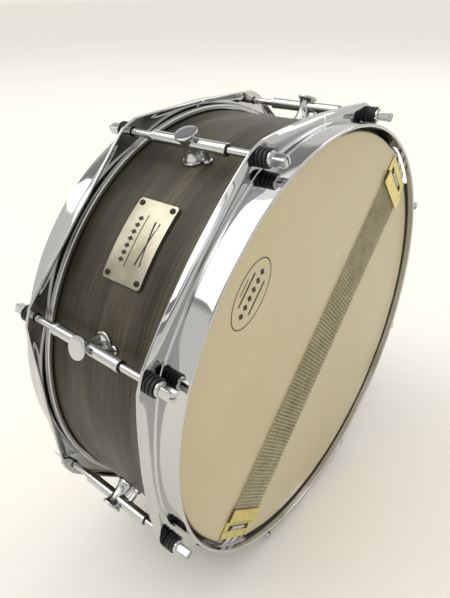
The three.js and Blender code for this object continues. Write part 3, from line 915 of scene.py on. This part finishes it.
def add_badge():
    place = station(BADGE_STATION)
    width, length = BADGE_SIZE
    plate = mesh_from("badge", curved_plate(width, length, 3.2, 177.4, BADGE_FACE), [BADGE])
    show("badge", plate, place, replaces=["badge_plate"])
    # A black pad under the badge, 0.9 mm wider than it all round.
    pad = curved_plate(width + 1.8, length + 1.8, 4.0, 177.05, 177.75, 0.15)
    show("badge_black_border", mesh_from("badge_border_pad", pad, [BLACK_STEEL]), place)
    show("badge_marks", mesh_from("badge_marks", badge_marks(), [INK]), place)
    screw = badge_screw_mesh()
    inset = 3.8
    corners = [(sx, sy) for sx in (-1, 1) for sy in (-1, 1)]
    for number, (sx, sy) in enumerate(corners, start=1):
        angle = sy * (length / 2 - inset) / SHELL_R
        turn = Matrix.Rotation(-angle, 4, "X")
        spot = Matrix.Translation((BADGE_MIDDLE + sx * (width / 2 - inset), 0, BADGE_FACE - 0.1))
        show(f"badge_screw_{number}", screw, place @ turn @ spot)


add_badge()

# ---------- snare wires, end plates and straps ----------


def strand_mesh():
    """One coiled strand along Z of the station frame, about its own middle."""
    pitch, steps = 3.0, 12
    reach = WIRE_REACH + 4
    turns = 2 * reach / pitch
    t = np.linspace(0, 1, int(turns * steps))
    angle = t * turns * 2 * math.pi
    coil = 0.72
    path = np.c_[coil * np.cos(angle), coil * np.sin(angle), -reach + 2 * reach * t]
    along = np.gradient(path, axis=0)
    along /= np.linalg.norm(along, axis=1)[:, None]
    outward = np.c_[np.cos(angle), np.sin(angle), np.zeros(len(t))]
    across = np.cross(along, outward)
    sides = 6
    sections = []
    for a in np.linspace(0, 2 * math.pi, sides, endpoint=False):
        sections.append(path + 0.34 * (math.cos(a) * outward + math.sin(a) * across))
    return loft(list(np.stack(sections, axis=1)))


def wires_mesh():
    strand = strand_mesh()
    offsets = [(i - (WIRE_COUNT - 1) / 2) * WIRE_SPACING for i in range(WIRE_COUNT)]
    strands = [shifted(strand, x=WIRE_MIDDLE, y=y) for y in offsets]
    return mesh_from("wires", merged(*strands), [WIRE], 80)


def end_plate_mesh():
    """A sheet folded up over the ends of the wires, with a slot for the strap in its flat part."""
    half = PLATE_WIDTH / 2
    line = rounded([(WIRE_REACH + 0.3, 73.35), (157.2, 73.35), (158.0, 71.3), (PLATE_REACH, 71.3)],
                   [0, 0.5, 0.5, 0], 4, closed=False)
    along = np.gradient(line, axis=0)
    normal = np.c_[-along[:, 1], along[:, 0]]
    normal *= 0.35 / np.linalg.norm(normal, axis=1)[:, None]
    outline = np.vstack([line + normal, (line - normal)[::-1]])
    sheet = prism(outline, -half, half, 0.12, 2)
    swap = Matrix(((0, 1, 0, 0), (0, 0, 1, 0), (1, 0, 0, 0), (0, 0, 0, 1)))
    mesh = mesh_from("end_plate", moved(sheet, swap), [BRASS], 30)
    slot = block((69, 74), (-18.5, 18.5), (160.6, 165.4), 0.6, 2)
    return carved(mesh, [slot], 30)


def painted_slot_shade_mesh():
    """A black pad under the slot and a black line at the fold above it: painted shade of the dark slot and
    of the gap at the fold.
    """
    pad = block((70.75, 70.92), (-19.6, 19.6), (159.6, 167.0), 0.05, 1)
    fold = block((72.0, 72.75), (-19.0, 19.0), (157.75, 158.45), 0.1, 1)
    return mesh_from("painted_slot_shade", merged(pad, fold), [INK])


def ribbon(line, edges, thickness):
    """A flat band along [x, radius] points, between two places across the station."""
    line = np.array(line, float)
    along = np.gradient(line, axis=0)
    normal = np.c_[-along[:, 1], along[:, 0]]
    normal *= thickness / 2 / np.linalg.norm(normal, axis=1)[:, None]
    sections = []
    for point, n in zip(line, normal):
        a, b = point + n, point - n
        sections.append(np.array([
            (a[0], edges[0], a[1]), (a[0], edges[1], a[1]), (b[0], edges[1], b[1]), (b[0], edges[0], b[1]),
        ]))
    return loft(sections)


def strap_line():
    """From the slot, under the plate, over the rim, out through the gate and down to the clamp."""
    seat = LUG_SEAT + 13.0
    loop = [(71.0, 162.2), (71.6, 162.4), (71.9, 162.8), (71.9, 163.4), (71.6, 163.8), (70.95, 164.1)]
    run = rounded([
        (70.85, 165), (70.85, 175.0), (68.6, 179.6), (61.5, 185.4),
        (52.5, seat - 0.7), (44.0, seat), (23.2, seat),
    ], [0, 2.5, 2.5, 4, 4, 4, 0], 6, closed=False)
    return np.vstack([loop, run])


def strap_meshes():
    line = strap_line()
    half, band = 14.0, 3.0
    clear = mesh_from("strap", ribbon(line, (-half + band, half - band), 0.3), [STRAP], 50)
    outer = line[6:]
    edges = ((-half, -half + band), (-band / 2, band / 2), (half - band, half))
    bands = [ribbon(outer, pair, 0.5) for pair in edges]
    return clear, mesh_from("strap_bands", merged(*bands), [INK], 50)


snare_line = station(BUTT_STATION)
show("wire_strands", wires_mesh(), snare_line, "snares", ["snare_wires"])
end_plate, painted_slot_shade = end_plate_mesh(), painted_slot_shade_mesh()
strap, strap_bands = strap_meshes()
for where, angle in (("butt", BUTT_STATION), ("strainer", STRAINER_STATION)):
    place = station(angle)
    show(f"{where}_end_plate", end_plate, place, "snares", [f"snare_end_plate_{where}"])
    # Each end plate gets the black pad and fold line, which are painted shade.
    show(f"{where}_painted_slot_shade", painted_slot_shade, place, "snares")
    show(f"{where}_strap", strap, place, "snares", [f"snare_strap_{where}"])
    show(f"{where}_strap_bands", strap_bands, place, "snares")


def head_print():
    """A thin oval with a row of lozenges and two rules: plain ornament, with no lettering."""
    low, high = FILM_FACE + 0.01, FILM_FACE + 0.06
    angles = np.linspace(0, 2 * math.pi, 72, endpoint=False)
    rims = [np.c_[r[0] * np.cos(angles), r[1] * np.sin(angles)] for r in ((25.0, 16.0), (24.2, 15.2))]
    loops = [np.c_[rim, np.full(len(rim), level)] for rim, level in
             ((rims[0], low), (rims[0], high), (rims[1], high), (rims[1], low))]
    oval = (np.vstack(loops), grid_faces(4, len(angles), True, True))
    parts = [oval]
    for i in range(6):
        x = (i - 2.5) * 6.2
        lozenge = [(x - 2.3, 0), (x, -3.0), (x + 2.3, 0), (x, 3.0)]
        parts.append(prism(lozenge, low, high, 0))
    for y, half in ((-7.2, 12.0), (7.2, 12.0)):
        rule = [(-half, y - 0.8), (half, y - 0.8), (half, y + 0.8), (-half, y + 0.8)]
        parts.append(prism(rule, low, high, 0))
    parts.append(prism([(-6, 10.6), (6, 10.6), (6, 11.4), (-6, 11.4)], low, high, 0))
    swap = Matrix(((0, 0, 1, 0), (1, 0, 0, 0), (0, 1, 0, 141), (0, 0, 0, 1)))
    return mesh_from("head_print", moved(merged(*parts), swap), [INK])


show("head_print", head_print(), station(BADGE_STATION))

# ---------- strainer ----------


def on_shell(part):
    return shifted(part, z=LUG_SEAT)


def side_plate(outline, width, middle=0.0, bevel=0.4):
    """An outline of [x, height] points given a width across the station."""
    flat = prism(outline, middle - width / 2, middle + width / 2, bevel, 3)
    swap = Matrix(((1, 0, 0, 0), (0, 0, 1, 0), (0, 1, 0, 0), (0, 0, 0, 1)))
    return moved(flat, swap)


def screw_head(radius, height):
    return lathe([(0, -1), (radius, -1), (radius, height - 0.5), (radius - 0.5, height), (0, height)], 32)


def strainer_base_mesh():
    plate = block((-14, 38), (-12.6, 12.6), (0, 3), 0.5)
    outline = rounded([
        (-14, 1), (38, 1), (38, 8.5), (6, 8.5), (3, 19.5), (-0.5, 22), (-7.5, 22), (-11, 19.5), (-14, 8.5),
    ], [0.5, 0.5, 2, 2.5, 2, 2, 2, 2, 2], 4)
    cheeks = [side_plate(outline, 2.8, side * 11.2) for side in (-1, 1)]
    pins = [shifted(along_y([(0, 12.3), (3.4, 12.3), (3.4, 13.2), (2.8, 13.6), (0, 13.6)]), -4, 0, 16.5)]
    pins.append(moved(pins[0], Matrix.Scale(-1, 4, (0, 1, 0))))
    return mesh_from("strainer_base", on_shell(merged(plate, *cheeks, *pins)), [CHROME])


def lever_mesh():
    hub = shifted(along_y([(0, -9.3), (4.6, -9.3), (5, -8.9), (5, 8.9), (4.6, 9.3), (0, 9.3)]), -4, 0, 16.5)
    pin = shifted(along_y([(0, -12.2), (2.1, -12.2), (2.1, 12.2), (0, 12.2)], 24), -4, 0, 16.5)
    web = block((-8, -1), (-7, 7), (18.2, 24), 0.5)
    arm = rounded([
        (-0.8, 22.9), (-0.8, 26), (-33, 26), (-39.0, 24.7), (-38.6, 22.3), (-33, 22.9),
    ], [0.8, 0.8, 5, 1.1, 1.1, 5], 5)
    grip = along_y([(0, -5.5), (0.5, -5.2), (0.5, 5.2), (0, 5.5)], 12)
    grips = [shifted(grip, x, 0, 25.75) for x in (-31, -29, -27)]
    return mesh_from("lever", on_shell(merged(hub, pin, web, side_plate(arm, 14), *grips)), [CHROME])


def slider_mesh():
    slide = block((6, 36), (-9.3, 9.3), (3.4, 9.6), 0.5)
    seat = block((10, 36), (-14.5, 14.5), (9.2, 12.4), 0.5)
    return mesh_from("slider", on_shell(merged(slide, seat)), [CHROME])


def clamp_mesh(half):
    bar = block((26, 35), (-half, half), (13.6, 16.6), 0.7, 3)
    screws = [shifted(screw_head(3.2, 2.0), 30.5, y, 16.6) for y in (-9, 9)]
    return mesh_from("clamp", on_shell(merged(bar, *screws)), [CHROME])


def knob_mesh():
    spindle = along_x([(0, -20), (2.1, -20), (2.1, 18.6), (1.7, 19), (0, 19)], 28)
    teeth = 30
    sections = []
    for x, scale in ((-27, 0.86), (-26.3, 0.97), (-25.8, 1.0), (-19.2, 1.0), (-18.7, 0.97), (-18, 0.86)):
        angles = np.linspace(0, 2 * math.pi, teeth * 4, endpoint=False)
        radius = scale * (6.75 + 0.25 * np.cos(angles * teeth))
        sections.append(np.c_[np.full(len(angles), x), radius * np.cos(angles), radius * np.sin(angles)])
    return mesh_from("knob", shifted(merged(spindle, loft(sections)), z=LUG_SEAT + 8), [CHROME])


def butt_mesh():
    outline = rounded([(12, 0), (38, 0), (38, 12.4), (20, 12.4), (12, 5)], [0.5, 0.5, 1.5, 4, 1.5], 5)
    posts = [block((26, 35), sorted((side * 14.5, side * 17)), (10, 15), 0.3) for side in (-1, 1)]
    return mesh_from("butt", on_shell(merged(side_plate(outline, 34, 0, 0.6), *posts)), [CHROME])


strainer = station(STRAINER_STATION)
butt = station(BUTT_STATION)
show("strainer_frame", strainer_base_mesh(), strainer, replaces=["strainer_base"])
show("lever", lever_mesh(), strainer, "lever", ["strainer_lever"])
show("slider", slider_mesh(), strainer, "slider", ["strainer_slider"])
show("clamp", clamp_mesh(14.5), strainer, "slider", ["strainer_clamp"])
show("knob", knob_mesh(), strainer, "knob", ["strainer_knob"])
show("butt_block", butt_mesh(), butt, replaces=["butt_plate"])
show("butt_clamp", clamp_mesh(17), butt)
for name, angle in (("strainer", STRAINER_STATION), ("butt", BUTT_STATION)):
    for number, x in enumerate((-6, 17), start=1):
        offset = x if name == "strainer" else x + 6
        spot = station(angle) @ Matrix.Translation((offset, 0, 0))
        show(f"{name}_screw_{number}", inner_screw, spot)

# ---------- room and light ----------


def add_floor():
    bm = bmesh.new()
    bmesh.ops.create_grid(bm, x_segments=1, y_segments=1, size=60)
    mesh = bpy.data.meshes.new("floor")
    bm.to_mesh(mesh)
    bm.free()
    look = Look("floor", (0.95, 0.93, 0.87), 0.9, Specular_IOR_Level=0.1)
    cloud = look.noise(look.place(), 2.5, 2)
    look.color(look.ramp(cloud, (0.3, (0.94, 0.92, 0.86)), (0.7, (0.955, 0.935, 0.875))))
    mesh.materials.append(look.material)
    floor = bpy.data.objects.new("floor", mesh)
    floor.location.z = -0.0004
    bpy.context.scene.collection.objects.link(floor)


def add_area(name, place, target, size, power, color=(1, 1, 1)):
    data = bpy.data.lights.new(name, "AREA")
    data.shape = "RECTANGLE"
    data.size, data.size_y = size
    data.energy = power
    data.color = color
    lamp = bpy.data.objects.new(name, data)
    lamp.location = place
    lamp.rotation_euler = (Vector(target) - Vector(place)).to_track_quat("-Z", "Y").to_euler()
    bpy.context.scene.collection.objects.link(lamp)


def add_world():
    """A pale room whose upper walls have dark and bright bands for the chrome to mirror."""
    world = bpy.data.worlds.new("room")
    world.use_nodes = True
    bpy.context.scene.world = world
    nodes, links = world.node_tree.nodes, world.node_tree.links
    back = nodes["Background"]

    def ramp(source, stops, tint):
        made = nodes.new("ShaderNodeValToRGB")
        while len(made.color_ramp.elements) < len(stops):
            made.color_ramp.elements.new(0.5)
        for element, (position, level) in zip(made.color_ramp.elements, stops):
            element.position = position
            element.color = (level, level * tint[0], level * tint[1], 1)
        links.new(source, made.inputs[0])
        return made.outputs[0]

    place = nodes.new("ShaderNodeTexCoord").outputs["Generated"]
    split = nodes.new("ShaderNodeSeparateXYZ")
    links.new(place, split.inputs[0])
    patches = nodes.new("ShaderNodeTexNoise")
    patches.inputs["Scale"].default_value = 1.3
    patches.inputs["Detail"].default_value = 1.0
    links.new(place, patches.inputs["Vector"])
    wander = nodes.new("ShaderNodeMath")
    wander.operation = "MULTIPLY_ADD"
    wander.inputs[1].default_value = 0.5
    wander.inputs[2].default_value = -0.25
    links.new(patches.outputs[0], wander.inputs[0])
    height = nodes.new("ShaderNodeMath")
    height.operation = "ADD"
    links.new(split.outputs[2], height.inputs[0])
    links.new(wander.outputs[0], height.inputs[1])
    bands = [
        (0.0, 0.68), (0.50, 0.68), (0.54, 0.30), (0.66, 0.22),
        (0.69, 1.0), (0.84, 1.0), (0.87, 0.55), (1.0, 0.8),
    ]
    levels = ramp(height.outputs[0], bands, (0.98, 0.94))
    links.new(levels, back.inputs["Color"])
    back.inputs["Strength"].default_value = 1.24


add_floor()
centre = (0, 0, AXIS)
add_area("key", (-2.0, -1.4, 3.4), centre, (3.0, 3.0), 50, (1, 0.985, 0.955))
add_area("back", (0.4, 3.0, 2.6), centre, (3.0, 1.6), 20)
add_world()
scene = bpy.context.scene
scene.view_settings.view_transform = "Standard"
